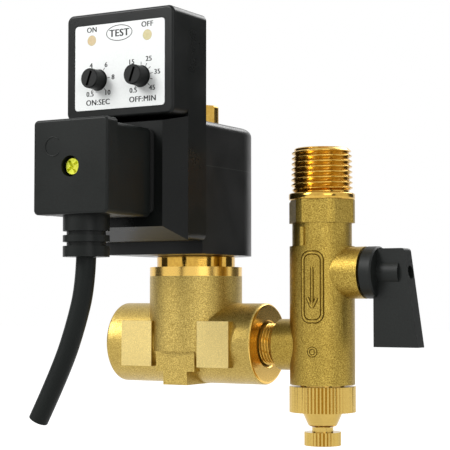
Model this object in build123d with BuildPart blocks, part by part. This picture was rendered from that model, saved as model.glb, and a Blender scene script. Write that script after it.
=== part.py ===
"""Timed electric drain valve: ball valve with strainer, solenoid valve, timer head and plug."""

import math
import os

from build123d import *

os.makedirs("parts", exist_ok=True)

# ---------------------------------------------------------------- driving dimensions (mm)
# The origin is the centre of the inlet thread's end face. +X runs along the solenoid valve
# towards the ball handle, +Y runs back, and the inlet pipe lies above in +Z.
clearance = 0.05  # radial running clearance of turning and sliding fits
seat_gap = 0.3  # gap between a moving piece and the fixed piece beside it

# inlet adapter
thread_radius = 10.5
thread_length = 15.3
collar_radius = 11.2
collar_height = 2.3
inlet_bore = 5.5
tail_radius = 8.9  # the adapter's tail, which clamps the ball seats

# ball valve and strainer body
hex_flats = 20.6
hex_height = 7.8
neck_radius = 10.1
neck_height = 7.8
barrel_radius = 11.0
barrel_height = 46.5
barrel_round = 0.8
ball_drop = 42.2  # depth of the ball's centre below the origin
ball_radius = 7.4
ball_port = 4.6
seat_height = 3.2
seat_offset = 3.9  # from the ball's centre to the near face of each seat
boss_radius = 8.7
boss_reach = 16.4
stem_radius = 2.9
stem_head_radius = 3.7
stem_square = 4.0
stem_head_length = 1.4
tongue_width = 2.2
tongue_length = 1.6
strainer_bore = 7.6
outlet_drop = 66.5  # depth of the solenoid valve's axis below the origin
nipple_radius = 6.85
nipple_length = 14.5
nipple_bore = 3.2

# strainer cap and manual drain
cap_radius = 11.2
cap_height = 8.6
cap_gap = 0.6
cap_flutes = 56
flute_depth = 0.28
adapter_lead = 0.8  # chamfer at the mouth of the adapter's bore
plug_length = 7.0  # the cap's threaded plug inside the barrel
cone_radius = 6.9
cone_tip_radius = 4.7
cone_height = 4.8
screen_radius = 5.4
screen_wall = 0.5
screen_slot = 2.2
screen_seat = 2.0  # depth that the screen stands in the cap
drain_hole = 2.6
knob_radius = 6.2
knob_height = 4.5
knob_neck_radius = 3.6
knob_neck_height = 1.9
knob_flutes = 30
drain_pitch = 1.0
cap_pitch = 1.5

# solenoid valve body
body_centre = -49.9  # X of the solenoid's axis
body_half_length = 29.2
body_radius = 14.0
port_radius = 6.9
port_depth = 12.5
port_mouth = 8.2
riser_radius = 16.4
riser_top = -39.8
riser_band = 3.2
riser_foot = -69.0
chamber_radius = 9.0
orifice_radius = 2.5
seat_ring_radius = 4.2
seat_top = -62.0
pad_width = 12.5
pad_height = 15.8
pad_reach = 14.9
pad_offset = 15.5

# solenoid operator
flange_radius = 13.9
flange_height = 3.8
tube_radius = 6.5
tube_wall = 0.5
plunger_radius = 5.9
plunger_length = 45.0
plunger_stroke = 2.0
spring_radius = 2.8
spring_wall = 0.9
spring_pocket = 10.0
nut_radius = 8.0
nut_height = 6.9
washer_radius = 9.6
washer_height = 1.6

# coil
coil_radius = 19.7
stud_radius = 4.0  # top of the guide tube, which the washer and the nut go over
stud_short = 0.5  # with the washer's height, how far the stud stops below the nut's top
washer_fit = 0.1
tube_insert = 8.0  # spigot of the tube's base inside the chamber
recess_radius = 3.4  # pocket for the sealing pad in the plunger's face
recess_depth = 1.5
pad_fit = 0.05
passage_offset = 7.0
passage_radius = 1.8
passage_length = 14.0
passage_slope = -0.25  # fall of the passage for each mm along
coil_front = -28.5
coil_bottom = -35.9
coil_height = 45.0
coil_round = 2.6
yoke_wall = 2.5
winding_radius = 13.0
bobbin_wall = 1.0

# timer head
timer_width = 42.3
timer_back = -28.5
timer_front = -49.0
timer_ledge = -40.0  # front plane of the lower half, round the plug's pedestal
timer_top = 44.0
timer_bottom = -31.8
timer_wall = 2.0
timer_round = 2.4
console_bottom = 8.6  # where the label console ends and the pedestal starts
pedestal_inset = 4.2
pedestal_top_gap = 2.0
back_cover = 2.5
board_gap = 2.9  # from the ledge to the circuit board's front
board_thickness = 1.6
trimmer_height = 2.5
switch_height = 3.0
label_width = 35.4
label_height = 28.4
label_depth = 0.5
label_centre_z = 25.8
led_radius = 1.7
led_offset = 11.0
led_z = 34.9
button_width = 9.8
button_height = 4.9
button_z = 36.6
button_travel = 0.8
trimmer_width = 9.0
trimmer_depth = 9.5
dial_radius = 3.3
dial_reach = 5.3
dial_z = 21.5
dial_offset_left = -8.4
dial_offset_right = 8.5
dial_slot = 0.9

# plug and cord
plug_width = 28.4
plug_bottom = -24.6
plug_top = 5.4
plug_front = -76.0
plug_face_depth = 5.5
plug_back = -50.5
plug_step = 1.1
plug_round = 1.6
plug_wall = 1.8
screw_recess = 3.3
screw_radius = 1.5
blade_pitch = 9.0  # from the plug's centre to each flat pin
blade_thickness = 0.8
blade_width = 6.0
blade_gap = 0.1
blade_reach = 7.0
blade_root = 3.0
relief_groove_heights = (3.4, 6.8)  # lower edge of each groove above the boot's bottom
relief_groove_width = 1.3
relief_radius = 7.4
relief_groove = 1.2
relief_height = 13.1
relief_y = -67.0
cord_radius = 3.2

# ball handle
hub_radius = 8.7
hub_start = 16.9
hub_length = 4.6
fin_thickness = 5.4
fin_start = 20.0
fin_top_reach = 31.1
fin_bottom_reach = 35.7
fin_length = 24.6
fin_rise = 7.9
fin_boss_radius = 4.2
fin_boss_gap = 2.0  # from the boss end to the fin's outer edge
screw_pocket = 2.2
handle_screw_head = 1.8  # height of its head
handle_screw_depth = 3.0  # from the hub's face to the screw's seat

# derived places
hex_top = -(thread_length + collar_height)
neck_top = hex_top - hex_height
barrel_top = neck_top - neck_height
barrel_bottom = barrel_top - barrel_height
cap_top = barrel_bottom - cap_gap
cap_bottom = cap_top - cap_height
cone_bottom = cap_bottom - cone_height
knob_top = cone_bottom - knob_neck_height
knob_bottom = knob_top - knob_height
body_end = body_centre + body_half_length
ball_plane = Plane(origin=(0, 0, -ball_drop))
handle_plane = Plane(origin=(0, 0, -ball_drop), x_dir=(0, 1, 0), z_dir=(1, 0, 0))
outlet_plane = Plane(origin=(0, 0, -outlet_drop), x_dir=(0, 1, 0), z_dir=(-1, 0, 0))
upper_stop = seat_offset + seat_height - ball_drop  # the adapter's end, above the upper seat
lower_stop = -(ball_drop + seat_offset + seat_height)  # the shoulder under the lower seat
tail_length = hex_top - upper_stop
chamber_top = lower_stop - 3.0  # ceiling of the strainer's chamber
stem_head_start = ball_radius + seat_gap
stem_head_end = stem_head_start + stem_head_length
screen_bottom = cap_top + plug_length - screen_seat
screen_length = chamber_top - seat_gap - screen_bottom
coil_top = coil_bottom + coil_height
tube_top = coil_top - 4.0
plunger_bottom = seat_top + 2.2
plunger_top = plunger_bottom + plunger_length
stop_bottom = plunger_top + plunger_stroke + seat_gap  # face of the tube's fixed stop
plug_centre_z = (plug_top + plug_bottom) / 2


def save(piece, name):
    """Labels a finished solid and writes it."""
    piece.label = name
    export_step(piece, f"parts/{name}.step")


def level(height, x=0.0, y=0.0):
    """A horizontal sketch plane at a height, over the point x, y."""
    return Plane(origin=(x, y, height))


def facing_front(y, x=0.0, z=0.0):
    """A sketch plane whose normal points to the front (-Y), with its x axis along +X."""
    return Plane(origin=(x, y, z), x_dir=(1, 0, 0), z_dir=(0, -1, 0))


def ring(outer, inner, bottom, top, x=0.0, y=0.0):
    """A plain upright ring."""
    with BuildPart() as made:
        with BuildSketch(level(bottom, x, y)):
            Circle(outer)
            Circle(inner, mode=Mode.SUBTRACT)
        extrude(amount=top - bottom)
    return made.part


def draw_blades(gap=0.0):
    """Adds the three flat pins of a square valve plug to a sketch, or with a gap, the slots for them."""
    with Locations((-blade_pitch, 0), (blade_pitch, 0)):
        Rectangle(blade_thickness + 2 * gap, blade_width + 2 * gap)
    with Locations((0, -blade_pitch)):
        Rectangle(blade_width + 2 * gap, blade_thickness + 2 * gap)


# ---------------------------------------------------------------- ball valve and strainer
def inlet_adapter():
    with BuildPart() as adapter:
        with BuildSketch(level(0)):
            Circle(thread_radius)
        extrude(amount=-thread_length)
        with BuildSketch(level(-thread_length)):
            Circle(collar_radius)
        extrude(amount=-collar_height)
        chamfer(adapter.edges().filter_by(GeomType.CIRCLE).group_by(SortBy.RADIUS)[-1], 0.3)
        with BuildSketch(level(hex_top)):
            Circle(tail_radius)
        extrude(amount=-tail_length)
        with BuildSketch(level(0)):
            Circle(inlet_bore)
        extrude(amount=hex_top - tail_length, mode=Mode.SUBTRACT)
        top_rims = adapter.edges().filter_by(GeomType.CIRCLE).group_by(Axis.Z)[-1]
        chamfer(top_rims.sort_by(SortBy.RADIUS)[0], adapter_lead)
    return adapter.part


def strainer_body():
    with BuildPart() as body:
        with BuildSketch(level(hex_top)):
            RegularPolygon(hex_flats / 2, 6, major_radius=False, rotation=12)
        extrude(amount=-hex_height)
        with BuildSketch(level(hex_top)):
            Circle(hex_flats / 2 + 0.9)
        extrude(amount=-hex_height, mode=Mode.INTERSECT)
        with BuildSketch(level(hex_top - hex_height / 2)):
            Circle(neck_radius)
        extrude(amount=-(neck_height + hex_height / 2))
        with BuildSketch(level(barrel_top)):
            Circle(barrel_radius)
        extrude(amount=-barrel_height)
        widest_rims = body.edges().filter_by(GeomType.CIRCLE).group_by(SortBy.RADIUS)[-1]
        chamfer(widest_rims.sort_by(Axis.Z)[-1], barrel_round)
        # stem boss, towards the handle
        with BuildSketch(handle_plane):
            Circle(boss_radius)
        extrude(amount=boss_reach)
        # outlet boss and threaded nipple, towards the solenoid valve
        with BuildSketch(outlet_plane):
            Circle(boss_radius)
        extrude(amount=boss_reach)
        chamfer(body.edges().filter_by(GeomType.CIRCLE).sort_by(Axis.X)[0], 1.2)
        with BuildSketch(outlet_plane.offset(boss_reach)):
            Circle(nipple_radius)
        extrude(amount=nipple_length)
        chamfer(body.edges().filter_by(GeomType.CIRCLE).sort_by(Axis.X)[0], 0.8)
        # raised bead below the hex and raised frame of the name cartouche
        with BuildSketch(level(barrel_top)):
            with Locations((-2.6, -neck_radius)):
                Circle(1.0)
        extrude(amount=neck_height - 1.5)
        # bores
        with BuildSketch(level(hex_top)):
            Circle(tail_radius + clearance)
        extrude(amount=lower_stop - hex_top, mode=Mode.SUBTRACT)
        with BuildSketch(level(lower_stop)):
            Circle(ball_port)
        extrude(amount=chamber_top - lower_stop, mode=Mode.SUBTRACT)
        with BuildSketch(level(barrel_bottom)):
            Circle(strainer_bore)
        extrude(amount=chamber_top - barrel_bottom, mode=Mode.SUBTRACT)
        with BuildSketch(handle_plane):
            Circle(stem_radius + clearance)
        extrude(amount=boss_reach, mode=Mode.SUBTRACT)
        with BuildSketch(handle_plane):
            Circle(stem_head_radius + clearance)
        extrude(amount=stem_head_end + clearance, mode=Mode.SUBTRACT)
        with BuildSketch(outlet_plane):
            Circle(nipple_bore)
        extrude(amount=boss_reach + nipple_length, mode=Mode.SUBTRACT)
    return body.part


def ball_seats():
    """Two seat rings that hold the ball from above and below."""
    with BuildPart() as seats:
        for top in (upper_stop, lower_stop + seat_height):
            with BuildSketch(level(top)):
                Circle(tail_radius - clearance)
                Circle(ball_port, mode=Mode.SUBTRACT)
            extrude(amount=-seat_height)
        with Locations((0, 0, -ball_drop)):
            Sphere(ball_radius, mode=Mode.SUBTRACT)
    return seats.part


def ball():
    with BuildPart() as made:
        with Locations((0, 0, -ball_drop)):
            Sphere(ball_radius)
        with BuildSketch(level(-ball_drop - ball_radius)):
            Circle(ball_port)
        extrude(amount=2 * ball_radius, mode=Mode.SUBTRACT)
        # slot that the stem's tongue drives
        with BuildSketch(handle_plane.offset(ball_radius - tongue_length - 0.4)):
            Rectangle(tongue_width + 2 * clearance, 2 * ball_radius)
        extrude(amount=tongue_length + 2, mode=Mode.SUBTRACT)
    return made.part


def valve_stem():
    with BuildPart() as stem:
        with BuildSketch(handle_plane.offset(stem_head_start)):
            Circle(stem_head_radius)
        extrude(amount=stem_head_length)
        with BuildSketch(handle_plane.offset(stem_head_end)):
            Circle(stem_radius)
        extrude(amount=hub_start - stem_head_end)
        with BuildSketch(handle_plane.offset(hub_start)):
            Rectangle(stem_square, stem_square)
        extrude(amount=hub_length)
        with BuildSketch(handle_plane.offset(ball_radius - tongue_length)):
            Rectangle(tongue_width, 5.0)
        extrude(amount=tongue_length + 0.5)
        with BuildSketch(handle_plane.offset(hub_start + hub_length)):
            Circle(1.2)
        extrude(amount=-8, mode=Mode.SUBTRACT)
        # groove for the stem's O-ring
        with BuildSketch(handle_plane.offset(12.0)):
            Circle(stem_radius + 1)
            Circle(stem_radius - 0.7, mode=Mode.SUBTRACT)
        extrude(amount=1.6, mode=Mode.SUBTRACT)
    return stem.part


def stem_seal():
    with BuildPart() as seal:
        with BuildSketch(handle_plane.offset(12.1)):
            Circle(stem_radius + 0.02)
            Circle(stem_radius - 0.68, mode=Mode.SUBTRACT)
        extrude(amount=1.4)
    return seal.part


def handle():
    """Moulded hub with one broad fin that points along the open bore."""
    with BuildPart() as lever:
        with BuildSketch(handle_plane.offset(hub_start)):
            Circle(hub_radius)
        extrude(amount=hub_length)
        chamfer(lever.edges().filter_by(GeomType.CIRCLE), 0.5)
        with BuildSketch(facing_front(fin_thickness / 2, 0, -ball_drop)):
            with BuildLine():
                Polyline(
                    (fin_start, fin_rise),
                    (fin_top_reach, fin_rise),
                    (fin_bottom_reach, -fin_length),
                    (fin_start, -fin_length),
                    close=True,
                )
            make_face()
        extrude(amount=fin_thickness)
        fillet(lever.edges().filter_by(Axis.Y).group_by(Axis.X)[-2:][0], 1.2)
        with BuildSketch(handle_plane.offset(hub_start)):
            Circle(fin_boss_radius)
        extrude(amount=fin_top_reach - hub_start - fin_boss_gap)
        with BuildSketch(handle_plane.offset(hub_start)):
            Rectangle(stem_square + 2 * clearance, stem_square + 2 * clearance)
        extrude(amount=hub_length + clearance, mode=Mode.SUBTRACT)
        with BuildSketch(handle_plane.offset(hub_start + hub_length)):
            Circle(1.6)
        extrude(amount=20, mode=Mode.SUBTRACT)
        with BuildSketch(handle_plane.offset(hub_start + hub_length + handle_screw_depth)):
            Circle(screw_pocket)
        extrude(amount=20, mode=Mode.SUBTRACT)
    return lever.part


def handle_screw():
    seat = hub_start + hub_length + handle_screw_depth
    with BuildPart() as screw:
        with BuildSketch(handle_plane.offset(seat)):
            Circle(screw_pocket - 0.25)
        extrude(amount=handle_screw_head)
        with BuildSketch(handle_plane.offset(seat)):
            Circle(1.15)
        extrude(amount=-8.5)
        with BuildSketch(handle_plane.offset(seat + handle_screw_head)):
            Rectangle(2.8, 0.6)
            Rectangle(0.6, 2.8)
        extrude(amount=-0.8, mode=Mode.SUBTRACT)
    return screw.part


def strainer_cap():
    with BuildPart() as cap:
        with BuildSketch(level(cap_bottom)):
            Circle(cap_radius)
            with PolarLocations(cap_radius, cap_flutes):
                Rectangle(2 * flute_depth, 2 * flute_depth, rotation=45, mode=Mode.SUBTRACT)
        extrude(amount=cap_height)
        with BuildSketch(level(cap_bottom)):
            Circle(cone_radius)
        cone_slope = math.degrees(math.atan((cone_radius - cone_tip_radius) / cone_height))
        extrude(amount=-cone_height, taper=cone_slope)
        fillet(cap.edges().filter_by(GeomType.CIRCLE).sort_by(Axis.Z)[0], 0.9)
        with BuildSketch(level(cap_top)):
            Circle(strainer_bore - clearance)
        extrude(amount=plug_length)
        # hollow above the drain hole, and seat step for the screen
        with BuildSketch(level(cap_top + plug_length)):
            Circle(screen_radius - screen_wall)
        extrude(amount=-(plug_length + cap_height - 2.5), mode=Mode.SUBTRACT)
        with BuildSketch(level(cap_top + plug_length)):
            Circle(screen_radius + clearance)
        extrude(amount=-screen_seat, mode=Mode.SUBTRACT)
        with BuildSketch(level(cone_bottom)):
            Circle(drain_hole)
        extrude(amount=cap_height + cone_height, mode=Mode.SUBTRACT)
        # groove for the cap's O-ring
        with BuildSketch(level(cap_top + 1.0)):
            Circle(strainer_bore + 1)
            Circle(strainer_bore - 1.0, mode=Mode.SUBTRACT)
        extrude(amount=1.6, mode=Mode.SUBTRACT)
    return cap.part


def strainer_screen():
    """Perforated tube that stands in the cap and filters what reaches the outlet."""
    with BuildPart() as screen:
        with BuildSketch(level(screen_bottom)):
            Circle(screen_radius)
            Circle(screen_radius - screen_wall, mode=Mode.SUBTRACT)
        extrude(amount=screen_length)
        with Locations((0, 0, screen_bottom + screen_length / 2)):
            with PolarLocations(0, 4, 0, 180):
                Box(4 * screen_radius, screen_slot, screen_length / 2, mode=Mode.SUBTRACT)
    return screen.part


def cap_seal():
    return ring(strainer_bore - 0.02, strainer_bore - 0.98, cap_top + 1.1, cap_top + 2.5)


def drain_screw():
    """Knurled thumbscrew whose pointed end closes the drain hole in the cap."""
    with BuildPart() as screw:
        with BuildSketch(level(knob_bottom)):
            Circle(knob_radius)
            with PolarLocations(knob_radius, knob_flutes):
                Rectangle(2 * flute_depth, 2 * flute_depth, rotation=45, mode=Mode.SUBTRACT)
        extrude(amount=knob_height)
        with BuildSketch(level(knob_top)):
            Circle(knob_neck_radius)
        extrude(amount=knob_neck_height - seat_gap)
        with BuildSketch(level(knob_top)):
            Circle(drain_hole - clearance)
        extrude(amount=knob_neck_height + cone_height + 3)
        with BuildSketch(level(knob_bottom)):
            Circle(1.0)
        extrude(amount=knob_height + 3, mode=Mode.SUBTRACT)
        with BuildSketch(level(knob_top + 7.0)):
            Circle(drain_hole + 1)
            Circle(drain_hole - 0.75, mode=Mode.SUBTRACT)
        extrude(amount=1.2, mode=Mode.SUBTRACT)
    return screw.part


def drain_seal():
    return ring(drain_hole - 0.02, drain_hole - 0.7, knob_top + 7.05, knob_top + 8.15)


# ---------------------------------------------------------------- solenoid valve
def valve_body():
    axis_plane = Plane(origin=(body_centre, 0, -outlet_drop), x_dir=(0, 1, 0), z_dir=(1, 0, 0))
    with BuildPart() as body:
        with BuildSketch(axis_plane.offset(-body_half_length)):
            Circle(body_radius)
        extrude(amount=2 * body_half_length)
        fillet(body.edges().filter_by(GeomType.CIRCLE), 1.0)
        # riser that carries the operator
        with BuildSketch(level(riser_foot, body_centre)):
            Circle(riser_radius)
        extrude(amount=riser_top - riser_foot)
        # spanner pads near both ends, front and back
        with BuildSketch(facing_front(pad_reach, body_centre, -outlet_drop)):
            with Locations((-pad_offset, 0), (pad_offset, 0)):
                Rectangle(pad_width, pad_height)
        extrude(amount=2 * pad_reach)
        # web and foot under the riser
        with BuildSketch(facing_front(body_radius, body_centre, -outlet_drop)):
            with Locations((0, -6)):
                Rectangle(15.6, 7.0)
            with Locations((0, -11.6)):
                Rectangle(9.6, 5.2)
        extrude(amount=2 * body_radius)
        # ports
        for end, out in ((-body_half_length, 1), (body_half_length, -1)):
            with BuildSketch(axis_plane.offset(end)):
                Circle(port_radius + clearance)
            extrude(amount=out * port_depth, mode=Mode.SUBTRACT)
        # mouth chamfers
        mouths = body.edges().filter_by(GeomType.CIRCLE)
        mouths = [e for e in mouths if abs(e.radius - port_radius - clearance) < 0.01]
        mouths = [e for e in mouths if abs(abs(e.center().X - body_centre) - body_half_length) < 0.01]
        chamfer(mouths, port_mouth - port_radius)
        # chamber over the seat, and passages from both ports
        with BuildSketch(level(riser_top, body_centre)):
            Circle(chamber_radius)
        extrude(amount=seat_top - riser_top, mode=Mode.SUBTRACT)
        with BuildSketch(level(seat_top, body_centre)):
            Circle(chamber_radius)
            Circle(seat_ring_radius, mode=Mode.SUBTRACT)
        extrude(amount=-2.5, mode=Mode.SUBTRACT)
        with BuildSketch(level(seat_top, body_centre)):
            Circle(orifice_radius)
        extrude(amount=-(outlet_drop + seat_top + 2), mode=Mode.SUBTRACT)
        with BuildSketch(axis_plane):
            Circle(orifice_radius)
        extrude(amount=-body_half_length, mode=Mode.SUBTRACT)
        # sloping passage from the chamber down to the inlet side
        passage_start = (body_centre + passage_offset, 0, seat_top - 1)
        with BuildSketch(Plane(origin=passage_start, x_dir=(0, 1, 0), z_dir=(1, 0, passage_slope))):
            Circle(passage_radius)
        extrude(amount=passage_length, mode=Mode.SUBTRACT)
    return body.part


def armature_tube():
    """Flanged base with the guide tube and the fixed stop at its closed top."""
    with BuildPart() as tube:
        with BuildSketch(level(riser_top, body_centre)):
            Circle(flange_radius)
        extrude(amount=flange_height)
        chamfer(tube.edges().filter_by(GeomType.CIRCLE).sort_by(Axis.Z)[-1], 0.3)
        with BuildSketch(level(riser_top, body_centre)):
            Circle(chamber_radius - clearance)
        extrude(amount=-tube_insert)
        with BuildSketch(level(riser_top, body_centre)):
            Circle(tube_radius)
        extrude(amount=tube_top - riser_top)
        with BuildSketch(level(tube_top, body_centre)):
            Circle(stud_radius)
        extrude(amount=coil_top + nut_height - stud_short - tube_top)
        with BuildSketch(level(riser_top - tube_insert, body_centre)):
            Circle(tube_radius - tube_wall)
        extrude(amount=stop_bottom - riser_top + tube_insert, mode=Mode.SUBTRACT)
        with BuildSketch(level(riser_top - 4, body_centre)):
            Circle(chamber_radius + 1)
            Circle(chamber_radius - 1.0, mode=Mode.SUBTRACT)
        extrude(amount=1.6, mode=Mode.SUBTRACT)
    return tube.part


def tube_seal():
    return ring(chamber_radius - 0.02, chamber_radius - 0.98, riser_top - 3.9, riser_top - 2.5, body_centre)


def plunger():
    """Moving armature that lifts off the seat when the coil is live."""
    with BuildPart() as made:
        with BuildSketch(level(plunger_bottom, body_centre)):
            Circle(plunger_radius)
        extrude(amount=plunger_length)
        with BuildSketch(level(plunger_bottom, body_centre)):
            Circle(recess_radius)
        extrude(amount=recess_depth, mode=Mode.SUBTRACT)
        # spring pocket in the top
        with BuildSketch(level(plunger_top, body_centre)):
            Circle(spring_radius + clearance)
        extrude(amount=-spring_pocket, mode=Mode.SUBTRACT)
        # two flutes let the fluid past
        with BuildSketch(level(plunger_bottom, body_centre)):
            with PolarLocations(plunger_radius, 2):
                Circle(1.0)
        extrude(amount=plunger_length, mode=Mode.SUBTRACT)
    return made.part


def plunger_pad():
    """Soft sealing disc pressed into the plunger's face."""
    with BuildPart() as pad:
        with BuildSketch(level(seat_top, body_centre)):
            Circle(recess_radius - pad_fit)
        extrude(amount=plunger_bottom + recess_depth - seat_top)
    return pad.part


def plunger_spring():
    """Closing spring between the plunger's pocket and the fixed stop."""
    pocket_bottom = plunger_top - spring_pocket
    return ring(spring_radius, spring_radius - spring_wall, pocket_bottom, stop_bottom, body_centre)


def coil_housing():
    """Moulded shell over the winding: round behind, square in front."""
    with BuildPart() as shell:
        with BuildSketch(level(coil_bottom, body_centre)):
            Circle(coil_radius)
            with Locations((0, coil_front / 2)):
                Rectangle(2 * coil_radius, -coil_front)
        extrude(amount=coil_height)
        fillet(shell.faces().sort_by(Axis.Z)[-1].edges(), coil_round)
        with BuildSketch(level(coil_bottom, body_centre)):
            Circle(winding_radius + yoke_wall)
        extrude(amount=coil_height - 3, mode=Mode.SUBTRACT)
        with BuildSketch(level(coil_top, body_centre)):
            Circle(tube_radius + clearance)
        extrude(amount=-4, mode=Mode.SUBTRACT)
        with BuildSketch(facing_front(coil_front + blade_root, body_centre, plug_centre_z)):
            draw_blades()
        extrude(amount=blade_root, mode=Mode.SUBTRACT)
    return shell.part


def coil_blades():
    """Flat pins of the coil that enter the timer's back."""
    with BuildPart() as blades:
        with BuildSketch(facing_front(coil_front + blade_root, body_centre, plug_centre_z)):
            draw_blades()
        extrude(amount=blade_root + back_cover + 1.5)
    return blades.part


def coil_yoke():
    """Steel can that closes the magnetic circuit round the winding."""
    outer = winding_radius + yoke_wall - clearance
    top = coil_top - 3
    with BuildPart() as can:
        with BuildSketch(level(coil_bottom, body_centre)):
            Circle(outer)
        extrude(amount=top - coil_bottom)
        with BuildSketch(level(coil_bottom + yoke_wall, body_centre)):
            Circle(winding_radius)
        extrude(amount=top - coil_bottom - 2 * yoke_wall, mode=Mode.SUBTRACT)
        with BuildSketch(level(coil_bottom, body_centre)):
            Circle(tube_radius + clearance)
        extrude(amount=top - coil_bottom, mode=Mode.SUBTRACT)
    return can.part


def coil_bobbin():
    bottom = coil_bottom + yoke_wall + 0.1
    top = coil_top - 3 - yoke_wall - 0.1
    with BuildPart() as spool:
        with BuildSketch(level(bottom, body_centre)):
            Circle(winding_radius - 0.1)
            Circle(tube_radius + 2 * clearance, mode=Mode.SUBTRACT)
        extrude(amount=top - bottom)
        with BuildSketch(level(bottom + bobbin_wall, body_centre)):
            Circle(winding_radius + 1)
            Circle(tube_radius + 1.1, mode=Mode.SUBTRACT)
        extrude(amount=top - bottom - 2 * bobbin_wall, mode=Mode.SUBTRACT)
    return spool.part


def coil_winding():
    bottom = coil_bottom + yoke_wall + bobbin_wall + 0.2
    top = coil_top - 3 - yoke_wall - bobbin_wall - 0.2
    return ring(winding_radius - 0.5, tube_radius + 1.15, bottom, top, body_centre)


def coil_washer():
    return ring(washer_radius, stud_radius + washer_fit, coil_top, coil_top + washer_height, body_centre)


def coil_nut():
    """Domed hexagon nut that clamps the coil on its tube."""
    bottom = coil_top + washer_height
    with BuildPart() as nut:
        with BuildSketch(level(bottom, body_centre)):
            RegularPolygon(nut_radius, 6, major_radius=False)
        extrude(amount=nut_height)
        with BuildSketch(level(bottom, body_centre)):
            Circle(nut_radius + 0.5)
        extrude(amount=nut_height, mode=Mode.INTERSECT)
        fillet(nut.faces().sort_by(Axis.Z)[-1].edges(), 1.0)
        with BuildSketch(level(bottom, body_centre)):
            Circle(stud_radius + clearance)
        extrude(amount=nut_height - 1.0, mode=Mode.SUBTRACT)
    return nut.part


# ---------------------------------------------------------------- timer head
def timer_case():
    """Moulded case: label console above, and a bevelled pedestal for the plug below."""
    height = timer_top - timer_bottom
    lower_height = console_bottom - timer_bottom
    depth = timer_back - back_cover - timer_front
    shell_back = timer_back - back_cover
    with BuildPart() as case:
        with BuildSketch(facing_front(shell_back, body_centre, (timer_top + timer_bottom) / 2)):
            RectangleRounded(timer_width, height, timer_round)
        extrude(amount=shell_back - timer_ledge)
        with BuildSketch(facing_front(timer_ledge, body_centre, (timer_top + console_bottom) / 2)):
            RectangleRounded(timer_width, timer_top - console_bottom, timer_round)
        extrude(amount=timer_ledge - timer_front)
        fillet(case.faces().sort_by(Axis.Y)[0].outer_wire().edges(), 0.9)
        # pedestal: a bevel from the ledge to the plug's seat
        base = facing_front(timer_ledge, body_centre, timer_bottom + lower_height / 2)
        seat_z = (console_bottom - pedestal_top_gap + timer_bottom + pedestal_inset) / 2
        seat_height_z = console_bottom - pedestal_top_gap - timer_bottom - pedestal_inset
        with BuildSketch(base):
            Rectangle(timer_width, lower_height)
        with BuildSketch(facing_front(timer_front, body_centre, seat_z)):
            Rectangle(timer_width - 2 * pedestal_inset, seat_height_z)
        loft()
        # hollow inside
        with BuildSketch(facing_front(shell_back, body_centre, (timer_top + timer_bottom) / 2)):
            Rectangle(timer_width - 2 * timer_wall, height - 2 * timer_wall)
        extrude(amount=shell_back - timer_ledge - timer_wall, mode=Mode.SUBTRACT)
        with BuildSketch(facing_front(timer_ledge, body_centre, (timer_top + console_bottom) / 2)):
            Rectangle(timer_width - 2 * timer_wall, timer_top - console_bottom - 2 * timer_wall)
        extrude(amount=timer_ledge - timer_front - timer_wall, mode=Mode.SUBTRACT)
        console_middle = (timer_top + console_bottom) / 2
        with BuildSketch(facing_front(timer_ledge + timer_wall, body_centre, console_middle)):
            Rectangle(timer_width - 2 * timer_wall, timer_top - console_bottom - 2 * timer_wall)
        extrude(amount=timer_wall, mode=Mode.SUBTRACT)
        # sunk bed for the label
        with BuildSketch(facing_front(timer_front + label_depth, body_centre, label_centre_z)):
            RectangleRounded(label_width + 0.4, label_height + 0.4, 1.4)
        extrude(amount=label_depth, mode=Mode.SUBTRACT)
        # openings for the dials, lamps and button
        with BuildSketch(facing_front(timer_front + timer_wall, body_centre)):
            with Locations((dial_offset_left, dial_z), (dial_offset_right, dial_z)):
                Circle(dial_radius + seat_gap)
            with Locations((-led_offset, led_z), (led_offset, led_z)):
                Circle(led_radius + clearance)
            with Locations((0, button_z)):
                Ellipse(button_width / 2 + seat_gap, button_height / 2 + seat_gap)
        extrude(amount=timer_wall, mode=Mode.SUBTRACT)
        # slots for the plug's blades
        with BuildSketch(facing_front(timer_ledge + timer_wall, body_centre, plug_centre_z)):
            draw_blades(blade_gap)
        extrude(amount=timer_wall + timer_ledge - timer_front, mode=Mode.SUBTRACT)
        with BuildSketch(facing_front(timer_ledge + timer_wall, body_centre, plug_centre_z)):
            Circle(screw_radius + 0.1)
        extrude(amount=timer_wall + timer_ledge - timer_front, mode=Mode.SUBTRACT)
    return case.part


def timer_cover():
    height = timer_top - timer_bottom
    with BuildPart() as cover:
        with BuildSketch(facing_front(timer_back, body_centre, (timer_top + timer_bottom) / 2)):
            RectangleRounded(timer_width, height, timer_round)
        extrude(amount=back_cover)
        with BuildSketch(facing_front(timer_back - back_cover, body_centre, (timer_top + timer_bottom) / 2)):
            Rectangle(timer_width - 2 * timer_wall - 0.4, height - 2 * timer_wall - 0.4)
            Rectangle(timer_width - 2 * timer_wall - 3, height - 2 * timer_wall - 3, mode=Mode.SUBTRACT)
        extrude(amount=2)
        with BuildSketch(facing_front(timer_back, body_centre, plug_centre_z)):
            draw_blades(blade_gap)
        extrude(amount=back_cover, mode=Mode.SUBTRACT)
    return cover.part


def circuit_board():
    board_back = timer_ledge + board_gap + board_thickness
    with BuildPart() as board:
        with BuildSketch(facing_front(board_back, body_centre, (timer_top + timer_bottom) / 2)):
            Rectangle(timer_width - 2 * timer_wall - 1, timer_top - timer_bottom - 2 * timer_wall - 1)
        extrude(amount=board_thickness)
    return board.part


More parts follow.
